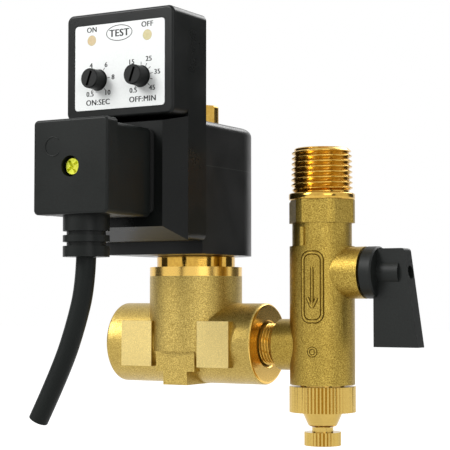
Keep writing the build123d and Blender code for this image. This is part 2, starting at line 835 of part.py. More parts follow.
def face_label():
    with BuildPart() as label:
        with BuildSketch(facing_front(timer_front + label_depth, body_centre, label_centre_z)):
            RectangleRounded(label_width, label_height, 1.2)
        extrude(amount=label_depth)
        with BuildSketch(facing_front(timer_front + label_depth, body_centre)):
            with Locations((dial_offset_left, dial_z), (dial_offset_right, dial_z)):
                Circle(dial_radius + seat_gap)
            with Locations((-led_offset, led_z), (led_offset, led_z)):
                Circle(led_radius + clearance)
            with Locations((0, button_z)):
                Ellipse(button_width / 2 + seat_gap / 2, button_height / 2 + seat_gap / 2)
        extrude(amount=label_depth, mode=Mode.SUBTRACT)
    return label.part


def lamp(side):
    """Indicator lamp that stands on the board and fills its hole in the label."""
    start = timer_ledge + board_gap
    with BuildPart() as made:
        with BuildSketch(facing_front(start, body_centre + side * led_offset, led_z)):
            Circle(led_radius)
        extrude(amount=start - timer_front)
    return made.part


def dial(offset):
    """Slotted trimmer shaft that sets a time."""
    start = timer_ledge + board_gap - trimmer_height - 0.1
    with BuildPart() as made:
        with BuildSketch(facing_front(start, body_centre + offset, dial_z)):
            Circle(dial_radius)
        extrude(amount=start - timer_front + dial_reach)
        chamfer(made.edges().filter_by(GeomType.CIRCLE).sort_by(Axis.Y)[0], 0.3)
        with BuildSketch(facing_front(timer_front - dial_reach, body_centre + offset, dial_z)):
            Rectangle(dial_slot, 5.0, rotation=-20)
        extrude(amount=-1.2, mode=Mode.SUBTRACT)
    return made.part


def trimmers():
    """Bodies of both trimmers, on the board behind their shafts."""
    start = timer_ledge + board_gap
    with BuildPart() as made:
        with BuildSketch(facing_front(start, body_centre, dial_z)):
            with Locations((dial_offset_left, 0), (dial_offset_right, 0)):
                Rectangle(trimmer_width, trimmer_depth)
        extrude(amount=trimmer_height)
    return made.part


def test_button():
    """Oval key under the label's oval, on a small switch."""
    back = timer_ledge + board_gap - switch_height
    with BuildPart() as key:
        with BuildSketch(facing_front(timer_front + 1.6, body_centre, button_z)):
            Ellipse(button_width / 2, button_height / 2)
        extrude(amount=1.6)
        with BuildSketch(facing_front(back - button_travel - 0.2, body_centre, button_z)):
            Circle(1.5)
        extrude(amount=back - button_travel - 0.2 - timer_front - 1.0)
    return key.part


def test_switch():
    start = timer_ledge + board_gap
    with BuildPart() as made:
        with BuildSketch(facing_front(start, body_centre, button_z)):
            Rectangle(6, 5)
        extrude(amount=switch_height)
    return made.part


# ---------------------------------------------------------------- plug and cord
def plug_blades():
    """Flat pins of the timer that enter the plug."""
    with BuildPart() as blades:
        with BuildSketch(facing_front(timer_ledge + board_gap, body_centre, plug_centre_z)):
            draw_blades()
        extrude(amount=timer_ledge + board_gap - plug_back + blade_reach)
    return blades.part


def plug_gasket():
    with BuildPart() as gasket:
        with BuildSketch(facing_front(timer_front, body_centre, plug_centre_z)):
            RectangleRounded(plug_width - 1.0, plug_width - 1.0, 2)
            Circle(screw_radius + 0.1, mode=Mode.SUBTRACT)
        extrude(amount=timer_front - plug_back)
        with BuildSketch(facing_front(timer_front, body_centre, plug_centre_z)):
            draw_blades(blade_gap)
        extrude(amount=timer_front - plug_back, mode=Mode.SUBTRACT)
    return gasket.part


def plug_housing():
    """Square moulded plug: a broad front plate on a slightly smaller body."""
    height = plug_top - plug_bottom
    front_back = plug_front + plug_face_depth
    with BuildPart() as shell:
        with BuildSketch(facing_front(front_back, body_centre, plug_centre_z)):
            RectangleRounded(plug_width, height, plug_round)
        extrude(amount=plug_face_depth)
        fillet(shell.faces().sort_by(Axis.Y)[0].edges(), 0.8)
        with BuildSketch(facing_front(plug_back, body_centre, plug_centre_z - plug_step / 2)):
            RectangleRounded(plug_width - 2 * plug_step, height - plug_step, plug_round)
        extrude(amount=plug_back - front_back)
        # pocket for the contact block
        with BuildSketch(facing_front(plug_back, body_centre, plug_centre_z)):
            inner_width = plug_width - 2 * plug_step - 2 * plug_wall
            RectangleRounded(inner_width, inner_width, 1)
        extrude(amount=plug_back - front_back - 3, mode=Mode.SUBTRACT)
        # screw recess in the front, and screw hole through
        with BuildSketch(facing_front(plug_front, body_centre, plug_centre_z)):
            Circle(screw_recess)
        extrude(amount=-3.2, mode=Mode.SUBTRACT)
        with BuildSketch(facing_front(plug_front, body_centre, plug_centre_z)):
            Circle(screw_radius + 0.1)
        extrude(amount=-30, mode=Mode.SUBTRACT)
    return shell.part


def contact_block():
    front_back = plug_front + plug_face_depth
    side = plug_width - 2 * plug_step - 2 * plug_wall - 0.2
    with BuildPart() as block:
        with BuildSketch(facing_front(plug_back, body_centre, plug_centre_z)):
            RectangleRounded(side, side, 1)
        extrude(amount=plug_back - front_back - 4)
        with BuildSketch(facing_front(plug_back, body_centre, plug_centre_z)):
            draw_blades(blade_gap)
        extrude(amount=blade_reach + 1, mode=Mode.SUBTRACT)
        with BuildSketch(facing_front(plug_back, body_centre, plug_centre_z)):
            Circle(screw_radius + 0.1)
        extrude(amount=30, mode=Mode.SUBTRACT)
    return block.part


def plug_screw():
    seat = plug_front + 3.2
    with BuildPart() as screw:
        with BuildSketch(facing_front(seat, body_centre, plug_centre_z)):
            Circle(screw_recess - 0.5)
        extrude(amount=1.8)
        chamfer(screw.edges().filter_by(GeomType.CIRCLE).sort_by(Axis.Y)[0], 0.3)
        with BuildSketch(facing_front(seat, body_centre, plug_centre_z)):
            Circle(screw_radius)
        extrude(amount=seat - timer_ledge - 0.5)
        with BuildSketch(facing_front(seat - 1.8, body_centre, plug_centre_z)):
            Rectangle(4.6, 0.9, rotation=35)
            Rectangle(4.6, 0.9, rotation=125)
        extrude(amount=-0.9, mode=Mode.SUBTRACT)
    return screw.part


def strain_relief():
    """Ribbed boot under the plug with two grooves round it."""
    bottom = plug_bottom - relief_height
    with BuildPart() as boot:
        with BuildSketch(level(bottom, body_centre, relief_y)):
            Circle(relief_radius)
        extrude(amount=relief_height)
        for height in relief_groove_heights:
            with BuildSketch(level(bottom + height, body_centre, relief_y)):
                Circle(relief_radius + 1)
                Circle(relief_radius - relief_groove, mode=Mode.SUBTRACT)
            extrude(amount=relief_groove_width, mode=Mode.SUBTRACT)
    return boot.part


def cord():
    """Sheathed flex, leaving the boot downwards and leaning to the left."""
    start = plug_bottom - relief_height
    x, y = body_centre, relief_y
    route = [
        (x, y, start),
        (x - 0.4, y, start - 9.0),
        (x - 3.3, y, start - 20.0),
        (x - 9.0, y, start - 35.0),
        (x - 18.4, y, start - 52.0),
    ]
    radii = []
    for before, here, after in zip(route, route[1:], route[2:]):
        run_in = Vector(*here) - Vector(*before)
        run_out = Vector(*after) - Vector(*here)
        turn = run_in.get_angle(run_out)
        radii.append(0.45 * min(run_in.length, run_out.length) / math.tan(math.radians(turn / 2)))
    print("cord radii", [round(r, 1) for r in radii])
    with BuildPart() as flex:
        with BuildLine() as line:
            FilletPolyline(*route, radius=radii)
        with BuildSketch(Plane(origin=route[0], z_dir=(0, 0, -1))):
            Circle(cord_radius)
        sweep(path=line.wires()[0])
    length = line.wires()[0].length
    straight_volume = math.pi * cord_radius**2 * length
    print("cord length", round(length, 2), "volume share", flex.part.volume / straight_volume)
    return flex.part


pieces = {
    "inlet_adapter": inlet_adapter,
    "strainer_body": strainer_body,
    "ball_seats": ball_seats,
    "ball": ball,
    "valve_stem": valve_stem,
    "stem_seal": stem_seal,
    "handle": handle,
    "handle_screw": handle_screw,
    "strainer_cap": strainer_cap,
    "strainer_screen": strainer_screen,
    "cap_seal": cap_seal,
    "drain_screw": drain_screw,
    "drain_seal": drain_seal,
    "valve_body": valve_body,
    "armature_tube": armature_tube,
    "tube_seal": tube_seal,
    "plunger": plunger,
    "plunger_pad": plunger_pad,
    "plunger_spring": plunger_spring,
    "coil_housing": coil_housing,
    "coil_blades": coil_blades,
    "coil_yoke": coil_yoke,
    "coil_bobbin": coil_bobbin,
    "coil_winding": coil_winding,
    "coil_washer": coil_washer,
    "coil_nut": coil_nut,
    "timer_case": timer_case,
    "timer_cover": timer_cover,
    "circuit_board": circuit_board,
    "face_label": face_label,
    "trimmers": trimmers,
    "test_button": test_button,
    "test_switch": test_switch,
    "plug_blades": plug_blades,
    "plug_gasket": plug_gasket,
    "plug_housing": plug_housing,
    "contact_block": contact_block,
    "plug_screw": plug_screw,
    "strain_relief": strain_relief,
    "cord": cord,
}
for name, make in pieces.items():
    save(make(), name)
save(lamp(-1), "on_lamp")
save(lamp(1), "off_lamp")
save(dial(dial_offset_left), "on_time_dial")
save(dial(dial_offset_right), "off_time_dial")
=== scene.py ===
import math

import bmesh
import bpy
import numpy as np
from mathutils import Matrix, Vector


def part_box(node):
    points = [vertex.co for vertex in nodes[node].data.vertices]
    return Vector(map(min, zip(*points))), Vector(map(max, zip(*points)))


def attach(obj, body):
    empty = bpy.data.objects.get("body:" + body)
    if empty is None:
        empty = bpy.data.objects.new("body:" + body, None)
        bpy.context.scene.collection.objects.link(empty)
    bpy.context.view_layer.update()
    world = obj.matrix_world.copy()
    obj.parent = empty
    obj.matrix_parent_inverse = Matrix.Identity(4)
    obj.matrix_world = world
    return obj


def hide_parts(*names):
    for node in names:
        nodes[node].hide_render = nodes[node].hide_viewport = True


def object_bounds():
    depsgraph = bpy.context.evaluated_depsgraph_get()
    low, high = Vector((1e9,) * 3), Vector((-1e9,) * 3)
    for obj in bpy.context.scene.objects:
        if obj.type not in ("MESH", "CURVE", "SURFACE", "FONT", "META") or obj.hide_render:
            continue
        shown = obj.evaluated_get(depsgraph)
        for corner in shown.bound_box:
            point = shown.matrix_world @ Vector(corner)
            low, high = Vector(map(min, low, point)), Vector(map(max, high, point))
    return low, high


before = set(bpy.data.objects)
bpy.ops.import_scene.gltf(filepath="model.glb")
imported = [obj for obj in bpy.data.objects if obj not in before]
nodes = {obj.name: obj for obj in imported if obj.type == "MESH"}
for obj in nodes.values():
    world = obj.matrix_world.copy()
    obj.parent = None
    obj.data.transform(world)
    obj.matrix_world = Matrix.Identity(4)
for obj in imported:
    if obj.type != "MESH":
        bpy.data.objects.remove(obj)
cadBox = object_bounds()
scene = bpy.context.scene
mm = 0.001
print("frame loaded:", len(nodes), "nodes")


def colour(red, green, blue):
    # 0-255 screen values to the linear values that shaders use
    v = np.array([red, green, blue]) / 255.0
    v = np.where(v <= 0.04045, v / 12.92, ((v + 0.055) / 1.055) ** 2.4)
    return (*v.tolist(), 1.0)


def sheetQuads(rows, cols, wrapRows, wrapCols):
    # neighbours on a grid of rows x cols points become quads; either way round may close on itself
    i = np.arange(rows if wrapRows else rows - 1)
    j = np.arange(cols if wrapCols else cols - 1)
    a, b = np.meshgrid(i, j, indexing="ij")
    a2, b2 = (a + 1) % rows, (b + 1) % cols
    quads = np.stack([a * cols + b, a2 * cols + b, a2 * cols + b2, a * cols + b2], -1)
    return quads.reshape(-1, 4)


def buildPiece(name, sheets, material, body, sharp=35.0):
    # sheets is a list of (points in mm [rows, cols, 3], wrapRows, wrapCols); all go into one mesh
    points, quads, start = [], [], 0
    for grid, wrapRows, wrapCols in sheets:
        points.append(grid.reshape(-1, 3) * mm)
        quads.append(sheetQuads(grid.shape[0], grid.shape[1], wrapRows, wrapCols) + start)
        start += grid.shape[0] * grid.shape[1]
    mesh = bpy.data.meshes.new(name)
    mesh.from_pydata(np.concatenate(points).tolist(), [], np.concatenate(quads).tolist())
    closed = bmesh.new()
    closed.from_mesh(mesh)
    bmesh.ops.remove_doubles(closed, verts=closed.verts, dist=1e-7)
    bmesh.ops.dissolve_degenerate(closed, edges=closed.edges, dist=1e-8)
    bmesh.ops.recalc_face_normals(closed, faces=closed.faces)
    closed.to_mesh(mesh)
    closed.free()
    mesh.polygons.foreach_set("use_smooth", np.ones(len(mesh.polygons), dtype=bool))
    mesh.set_sharp_from_angle(angle=math.radians(sharp))
    mesh.materials.append(material)
    piece = bpy.data.objects.new(name, mesh)
    scene.collection.objects.link(piece)
    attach(piece, body)
    return piece


def axisFrame(axis):
    # two unit vectors square to the axis
    axis = np.array(axis, float)
    axis /= np.linalg.norm(axis)
    side = np.cross(axis, [0.0, 0.0, 1.0])
    if np.linalg.norm(side) < 1e-3:
        side = np.array([1.0, 0.0, 0.0])
    side /= np.linalg.norm(side)
    return axis, side, np.cross(axis, side)


def turned(profile, origin, axis, steps=64):
    # profile of (radius, distance along the axis) turned once round the axis:
    # point(i, t) = origin + axis * distance(i) + radius(i) * (side cos t + other sin t)
    # round an upright axis the circle starts on +x, so its columns meet those of a thread
    profile = np.array(profile, float)
    axis, side, other = axisFrame(axis)
    t = np.linspace(0, 2 * np.pi, steps, endpoint=False)
    ring = np.cos(t)[:, None] * side + np.sin(t)[:, None] * other
    return np.array(origin) + profile[:, 1, None, None] * axis + profile[:, 0, None, None] * ring[None]


def bead(path, outward, radius, closedPath, steps=10, rise=1.0):
    # a bead along a path that lies on a surface: point(i, s) = path(i) + radius(i) *
    # (rise * outward(i) cos s + across(i) sin s), where across is square to the path in the surface
    tangent = np.roll(path, -1, 0) - np.roll(path, 1, 0)
    if not closedPath:
        tangent[0], tangent[-1] = path[1] - path[0], path[-1] - path[-2]
    tangent /= np.linalg.norm(tangent, axis=1, keepdims=True)
    across = np.cross(tangent, outward)
    across /= np.linalg.norm(across, axis=1, keepdims=True)
    s = np.linspace(0, 2 * np.pi, steps, endpoint=False)
    radius = np.broadcast_to(radius, (len(path),))[:, None, None]
    return path[:, None] + radius * (rise * np.cos(s)[None, :, None] * outward[:, None]
                                     + np.sin(s)[None, :, None] * across[:, None])


def roundEnds(steps, power):
    # share of the full radius along a bead: sqrt(1 - |2 s - 1|^power), which closes both ends
    s = np.linspace(0, 1, steps)
    return np.sqrt(np.clip(1 - np.abs(2 * s - 1) ** power, 1e-6, 1))


def newGroup(name, inputs, outputs):
    group = bpy.data.node_groups.new(name, "ShaderNodeTree")
    for label, kind, value in inputs:
        socket = group.interface.new_socket(label, in_out="INPUT", socket_type=kind)
        if value is not None:
            socket.default_value = value
    for label, kind in outputs:
        group.interface.new_socket(label, in_out="OUTPUT", socket_type=kind)
    return group, group.nodes.new("NodeGroupInput"), group.nodes.new("NodeGroupOutput")


def feed(tree, value, socket):
    # the socket is linked to another one, or holds a constant
    if isinstance(value, bpy.types.NodeSocket):
        tree.links.new(value, socket)
    else:
        socket.default_value = value


def mathNode(tree, operation, first, second, clamp=False):
    node = tree.nodes.new("ShaderNodeMath")
    node.operation = operation
    node.use_clamp = clamp
    feed(tree, first, node.inputs[0])
    feed(tree, second, node.inputs[1])
    return node.outputs[0]


def grainGroup():
    # fine grain for castings and moulded plastic: a mask for the colour and a bumped normal
    group, inside, outside = newGroup(
        "fineGrain",
        [("Vector", "NodeSocketVector", None), ("Scale", "NodeSocketFloat", 900.0),
         ("Contrast", "NodeSocketFloat", 0.5), ("Height", "NodeSocketFloat", 0.2)],
        [("Mask", "NodeSocketFloat"), ("Normal", "NodeSocketVector")])
    link = group.links.new
    noise = group.nodes.new("ShaderNodeTexNoise")
    noise.inputs["Detail"].default_value = 3.0
    noise.inputs["Roughness"].default_value = 0.65
    link(inside.outputs["Vector"], noise.inputs["Vector"])
    link(inside.outputs["Scale"], noise.inputs["Scale"])
    pits = group.nodes.new("ShaderNodeTexVoronoi")
    link(inside.outputs["Vector"], pits.inputs["Vector"])
    link(inside.outputs["Scale"], pits.inputs["Scale"])
    grain = mathNode(group, "ADD", mathNode(group, "MULTIPLY", noise.outputs["Fac"], 0.7),
                     mathNode(group, "MULTIPLY", pits.outputs["Distance"], 0.3))
    centred = mathNode(group, "MULTIPLY", mathNode(group, "SUBTRACT", grain, 0.5), 4.0)
    spread = mathNode(group, "MULTIPLY", centred, inside.outputs["Contrast"])
    mask = mathNode(group, "ADD", spread, 0.5, clamp=True)
    bump = group.nodes.new("ShaderNodeBump")
    bump.inputs["Distance"].default_value = 0.15 * mm
    link(inside.outputs["Height"], bump.inputs["Strength"])
    link(grain, bump.inputs["Height"])
    link(mask, outside.inputs["Mask"])
    link(bump.outputs["Normal"], outside.inputs["Normal"])
    return group


def patchGroup():
    # broad soft patches from handling and dust
    group, inside, outside = newGroup(
        "handlingPatches",
        [("Vector", "NodeSocketVector", None), ("Scale", "NodeSocketFloat", 60.0),
         ("Low", "NodeSocketFloat", 0.0), ("High", "NodeSocketFloat", 1.0)],
        [("Value", "NodeSocketFloat")])
    noise = group.nodes.new("ShaderNodeTexNoise")
    noise.inputs["Detail"].default_value = 4.0
    group.links.new(inside.outputs["Vector"], noise.inputs["Vector"])
    group.links.new(inside.outputs["Scale"], noise.inputs["Scale"])
    fit = group.nodes.new("ShaderNodeMapRange")
    fit.inputs["From Min"].default_value = 0.3
    fit.inputs["From Max"].default_value = 0.7
    group.links.new(noise.outputs["Fac"], fit.inputs["Value"])
    group.links.new(inside.outputs["Low"], fit.inputs["To Min"])
    group.links.new(inside.outputs["High"], fit.inputs["To Max"])
    group.links.new(fit.outputs["Result"], outside.inputs["Value"])
    return group


def turningGroup():
    # fine rings that a cutting tool leaves round an axis: noise that changes only along the axis
    group, inside, outside = newGroup(
        "toolRings",
        [("Vector", "NodeSocketVector", None), ("Axis", "NodeSocketVector", (0.0, 0.0, 1.0)),
         ("Scale", "NodeSocketFloat", 3000.0), ("Height", "NodeSocketFloat", 0.1)],
        [("Mask", "NodeSocketFloat"), ("Normal", "NodeSocketVector")])
    along = group.nodes.new("ShaderNodeVectorMath")
    along.operation = "DOT_PRODUCT"
    group.links.new(inside.outputs["Vector"], along.inputs[0])
    group.links.new(inside.outputs["Axis"], along.inputs[1])
    rings = group.nodes.new("ShaderNodeTexNoise")
    rings.noise_dimensions = "1D"
    rings.inputs["Detail"].default_value = 2.0
    group.links.new(along.outputs["Value"], rings.inputs["W"])
    group.links.new(inside.outputs["Scale"], rings.inputs["Scale"])
    bump = group.nodes.new("ShaderNodeBump")
    bump.inputs["Distance"].default_value = 0.05 * mm
    group.links.new(inside.outputs["Height"], bump.inputs["Strength"])
    group.links.new(rings.outputs["Fac"], bump.inputs["Height"])
    group.links.new(rings.outputs["Fac"], outside.inputs["Mask"])
    group.links.new(bump.outputs["Normal"], outside.inputs["Normal"])
    return group


fineGrain = grainGroup()
handlingPatches = patchGroup()
toolRings = turningGroup()
print("shader groups ready")


def offPlane(tree, coordinate, place):
    # distance from a plane at place (mm): |coordinate - place|
    return mathNode(tree, "ABSOLUTE", mathNode(tree, "SUBTRACT", coordinate, place * mm), 0.0)


def placeGroup(tree, group, vector, values):
    node = tree.nodes.new("ShaderNodeGroup")
    node.node_tree = group
    tree.links.new(vector, node.inputs["Vector"])
    for label, value in values.items():
        feed(tree, value, node.inputs[label])
    return node


def mixColours(tree, factor, first, second):
    node = tree.nodes.new("ShaderNodeMix")
    node.data_type = "RGBA"
    feed(tree, factor, node.inputs["Factor"])
    feed(tree, first, node.inputs[6])
    feed(tree, second, node.inputs[7])
    return node.outputs[2]


def mixValues(tree, factor, first, second):
    node = tree.nodes.new("ShaderNodeMix")
    feed(tree, factor, node.inputs["Factor"])
    feed(tree, first, node.inputs[2])
    feed(tree, second, node.inputs[3])
    return node.outputs[0]


def splitAxes(tree, vector):
    node = tree.nodes.new("ShaderNodeSeparateXYZ")
    tree.links.new(vector, node.inputs[0])
    return node.outputs


def finish(name, look):
    # one grained surface: two colours mixed by the grain, roughness by broad patches, a bright turned
    # finish beyond each zone (axis, sign, place in mm), a lighter colour where all flats hold (axis,
    # middle, distance from it, half width), and thin lines for seams (axis, place, half width)
    material = bpy.data.materials.new(name)
    material.use_nodes = True
    tree = material.node_tree
    shader = tree.nodes["Principled BSDF"]
    where = tree.nodes.new("ShaderNodeTexCoord").outputs["Object"]
    patches = placeGroup(tree, handlingPatches, where,
                         {"Scale": 70.0, "Low": look["rough"][0], "High": look["rough"][1]})
    rough = patches.outputs["Value"]
    height = look.get("height", 0.2)
    zone = None
    if "zones" in look:
        split = splitAxes(tree, where)
        for axis, sign, place in look["zones"]:
            beyond = mathNode(tree, "GREATER_THAN", mathNode(tree, "MULTIPLY", split[axis], sign),
                              place * mm * sign)
            zone = beyond if zone is None else mathNode(tree, "MAXIMUM", zone, beyond)
        height = mathNode(tree, "MULTIPLY", mathNode(tree, "SUBTRACT", 1.0, zone), height)
    grain = placeGroup(tree, fineGrain, where,
                       {"Scale": look["grain"], "Contrast": look.get("contrast", 0.5), "Height": height})
    tint = mixColours(tree, grain.outputs["Mask"], look["dark"], look["light"])
    if "patina" in look:
        veil = placeGroup(tree, handlingPatches, where,
                          {"Scale": look.get("patinaScale", 45.0), "Low": 0.0,
                           "High": look.get("patinaAmount", 0.4)})
        tint = mixColours(tree, veil.outputs["Value"], tint, look["patina"])
    normal = grain.outputs["Normal"]
    if "rings" in look:
        lines = placeGroup(tree, toolRings, where,
                           {"Axis": look["rings"], "Scale": look["ringScale"], "Height": 0.15})
        normal = lines.outputs["Normal"]
        tint = mixColours(tree, mathNode(tree, "MULTIPLY", lines.outputs["Mask"], 0.25), tint,
                          look["dark"])
    if zone is not None:
        tint = mixColours(tree, zone, tint, look["bright"])
        rough = mixValues(tree, zone, rough, look["brightRough"])
    if "flats" in look:
        split = splitAxes(tree, where)
        worn = look["flatStrength"]
        for axis, middle, away, half in look["flats"]:
            off = offPlane(tree, offPlane(tree, split[axis], middle), away)
            worn = mathNode(tree, "MULTIPLY", mathNode(tree, "LESS_THAN", off, half * mm), worn)
        tint = mixColours(tree, worn, tint, look["flatColour"])
    if "seams" in look:
        split = splitAxes(tree, where)
        for axis, place, width in look["seams"]:
            near = mathNode(tree, "LESS_THAN", offPlane(tree, split[axis], place), width * mm)
            tint = mixColours(tree, mathNode(tree, "MULTIPLY", near, 0.6), tint, look["seamColour"])
    tree.links.new(tint, shader.inputs["Base Color"])
    tree.links.new(rough, shader.inputs["Roughness"])
    tree.links.new(normal, shader.inputs["Normal"])
    shader.inputs["Metallic"].default_value = look.get("metal", 0.0)
    shader.inputs["Specular IOR Level"].default_value = look.get("specular", 0.5)
    shader.inputs["Coat Weight"].default_value = look.get("coat", 0.0)
    shader.inputs["Coat Roughness"].default_value = look.get("coatRough", 0.1)
    if "subsurface" in look:
        shader.inputs["Subsurface Weight"].default_value = look["subsurface"]
        shader.inputs["Subsurface Scale"].default_value = 0.5 * mm
    return material


castLook = {
    "dark": colour(106, 82, 24), "light": colour(204, 176, 88), "patina": colour(146, 119, 48),
    "patinaAmount": 0.45, "rough": (0.34, 0.46), "grain": 3200.0, "contrast": 0.85, "height": 0.55,
    "metal": 1.0,
}
turnedLook = {
    "dark": colour(166, 122, 42), "light": colour(238, 200, 104), "rough": (0.15, 0.24), "grain": 900.0,
    "contrast": 0.2, "height": 0.03, "metal": 1.0, "rings": (0.0, 0.0, 1.0), "ringScale": 2600.0,
}
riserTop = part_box("valve_body")[1].z / mm
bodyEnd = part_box("valve_body")[1].x / mm
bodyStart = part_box("valve_body")[0].x / mm
blackLook = {
    "dark": colour(13, 15, 14), "light": colour(28, 31, 29), "rough": (0.4, 0.52), "grain": 2200.0,
    "contrast": 0.5, "height": 0.2, "patina": colour(36, 40, 38), "patinaAmount": 0.2, "specular": 0.25,
}
looks = {
    "castBrass": castLook,
    "castShade": {**castLook, "dark": colour(58, 42, 8), "light": colour(96, 72, 20),
                  "patinaAmount": 0.1, "rough": (0.6, 0.7)},
    # valve body: the cast brass again, with lighter colours that are painted light falling from the left
    "valveBodyBrassPaintedLight": {**castLook, "dark": colour(122, 98, 42), "light": colour(222, 196, 114),
                       "patina": colour(168, 141, 70),
                       "flats": [(1, 0.0, 14.9, 0.1), (0, -49.9, 15.5, 6.3)], "flatStrength": 0.42,
                       "flatColour": colour(244, 224, 158),
                       "zones": [(2, 1, riserTop - 3.2), (0, 1, bodyEnd - 0.3), (0, -1, bodyStart + 0.3)],
                       "bright": colour(238, 196, 104), "brightRough": 0.22},
    "turnedBrass": turnedLook,
    "capBrass": {**turnedLook, "dark": colour(160, 128, 58), "light": colour(230, 200, 116),
                 "contrast": 0.06, "rough": (0.15, 0.22)},
    "turnedAcross": {**turnedLook, "rings": (1.0, 0.0, 0.0)},
    "polishedBrass": {**turnedLook, "light": colour(246, 204, 100), "dark": colour(180, 130, 44),
                      "rough": (0.08, 0.13)},
    "plated": {"dark": colour(190, 190, 188), "light": colour(220, 220, 218), "rough": (0.1, 0.18),
               "grain": 800.0, "contrast": 0.2, "height": 0.02, "metal": 1.0},
    "zincSteel": {"dark": colour(150, 152, 150), "light": colour(200, 200, 196), "rough": (0.25, 0.4),
                  "grain": 1500.0, "contrast": 0.4, "height": 0.06, "metal": 1.0},
    "zincYellow": {"dark": colour(150, 170, 40), "light": colour(222, 232, 84),
                   "patina": colour(236, 214, 96),
                   "patinaScale": 400.0, "rough": (0.2, 0.34), "grain": 1200.0, "contrast": 0.6,
                   "height": 0.08, "metal": 1.0},
    "steel": {"dark": colour(120, 120, 120), "light": colour(170, 170, 170), "rough": (0.3, 0.45),
              "grain": 1500.0, "contrast": 0.3, "height": 0.05, "metal": 1.0},
    "copper": {"dark": colour(150, 76, 40), "light": colour(200, 112, 66), "rough": (0.3, 0.4),
               "grain": 1500.0, "contrast": 0.4, "height": 0.05, "metal": 1.0},
    "handlePlastic": blackLook,
    "timerPlastic": {**blackLook, "dark": colour(8, 9, 9), "light": colour(19, 21, 20),
                     "rough": (0.26, 0.36), "height": 0.1, "specular": 0.18},
    "coilPlastic": {**blackLook, "dark": colour(9, 10, 10), "light": colour(20, 21, 21),
                    "rough": (0.28, 0.4), "height": 0.1,
                    "seams": [(2, -6.3, 0.12)], "seamColour": colour(62, 64, 62)},
    "plugPlastic": {**blackLook, "dark": colour(10, 12, 11), "light": colour(22, 25, 23),
                    "rough": (0.34, 0.46), "height": 0.14, "specular": 0.17},
    "cordJacket": {**blackLook, "dark": colour(10, 13, 12), "light": colour(22, 26, 24),
                   "rough": (0.42, 0.52), "height": 0.1, "specular": 0.15},
    "dialPlastic": {**blackLook, "dark": colour(6, 7, 7), "light": colour(14, 15, 15), "specular": 0.2},
    "rubber": {**blackLook, "dark": colour(20, 20, 20), "light": colour(32, 32, 32), "rough": (0.6, 0.75)},
    "whitePolymer": {"dark": colour(214, 212, 204), "light": colour(236, 234, 228), "rough": (0.4, 0.5),
                     "grain": 1200.0, "height": 0.05},
    "board": {"dark": colour(24, 84, 44), "light": colour(40, 120, 66), "rough": (0.3, 0.45),
              "grain": 900.0, "height": 0.05},
    "labelFilm": {"dark": colour(228, 231, 229), "light": colour(240, 242, 241), "rough": (0.35, 0.45),
                  "grain": 1600.0, "contrast": 0.3, "height": 0.03, "coat": 0.2},
    "ink": {"dark": colour(8, 9, 9), "light": colour(16, 17, 17), "rough": (0.4, 0.5), "grain": 1800.0,
            "height": 0.02},
    "lampOrange": {"dark": colour(198, 176, 132), "light": colour(216, 196, 154), "rough": (0.2, 0.3),
                   "grain": 900.0, "contrast": 0.3, "height": 0.03, "coat": 0.5, "subsurface": 0.2},
    "lampYellow": {"dark": colour(196, 184, 132), "light": colour(214, 204, 156), "rough": (0.2, 0.3),
                   "grain": 900.0, "contrast": 0.3, "height": 0.03, "coat": 0.5, "subsurface": 0.2},
    "coreBrown": {"dark": colour(84, 52, 34), "light": colour(110, 70, 46), "rough": (0.4, 0.5),
                  "grain": 1200.0, "height": 0.05},
    "coreBlue": {"dark": colour(40, 70, 120), "light": colour(60, 96, 150), "rough": (0.4, 0.5),
                 "grain": 1200.0, "height": 0.05},
    "coreGreen": {"dark": colour(70, 120, 50), "light": colour(150, 170, 60), "rough": (0.4, 0.5),
                  "grain": 300.0, "height": 0.05},
}
finishes = {name: finish(name, look) for name, look in looks.items()}

nodeFinish = {
    "strainer_body": "castBrass", "valve_body": "valveBodyBrassPaintedLight", "inlet_adapter": "turnedBrass",
    "armature_tube": "polishedBrass", "strainer_cap": "capBrass", "drain_screw": "capBrass",
    "coil_nut": "turnedBrass", "coil_washer": "zincSteel", "valve_stem": "turnedAcross", "ball": "plated",
    "ball_seats": "whitePolymer", "handle": "handlePlastic", "handle_screw": "zincSteel",
    "plug_screw": "zincYellow", "plug_housing": "plugPlastic", "strain_relief": "plugPlastic",
    "plug_gasket": "rubber", "contact_block": "whitePolymer", "timer_case": "timerPlastic",
    "timer_cover": "timerPlastic", "coil_housing": "coilPlastic", "face_label": "labelFilm",
    "test_button": "labelFilm", "on_lamp": "lampOrange", "off_lamp": "lampYellow",
    "on_time_dial": "dialPlastic", "off_time_dial": "dialPlastic", "circuit_board": "board",
    "coil_winding": "copper", "coil_bobbin": "whitePolymer", "trimmers": "whitePolymer",
    "cord": "cordJacket",
    "stem_seal": "rubber", "cap_seal": "rubber", "drain_seal": "rubber", "tube_seal": "rubber",
    "plunger_pad": "rubber", "test_switch": "handlePlastic",
}
for name, node in nodes.items():
    chosen = finishes[nodeFinish.get(name, "steel")]
    if node.material_slots:
        for place in node.material_slots:
            place.material = chosen
    else:
        node.data.materials.append(chosen)
print("finishes on", len(nodes), "nodes")


# inlet adapter with its pipe thread
adapter = {
    "crest": 10.5, "root": 9.35, "bore": 5.5, "boreLead": 0.8, "tail": 8.9,
    "collar": 11.2, "collarHeight": 2.3, "collarEdge": 0.3, "collarTopEdge": 0.35,
    "threadLength": 15.3, "pitch": 1.81, "lead": 1.2, "leadSlope": 1.1, "taper": 0.022,
    "steepness": 1.25, "rootFlat": 0.06, "runIn": 0.8, "undercut": 0.25,
    "turnsAcross": 144, "rowsPerPitch": 12,
}


def threadRows(low, high, pitch, perPitch):
    return np.linspace(low, high, int((high - low) / pitch * perPitch) + 1)


def threadWave(along, angle, pitch):
    # triangle wave of along / pitch - angle / 2 pi: 0 at the root, 1 at the crest
    turn = (along / pitch - angle / (2 * np.pi)) % 1.0
    return 1 - np.abs(2 * turn - 1)


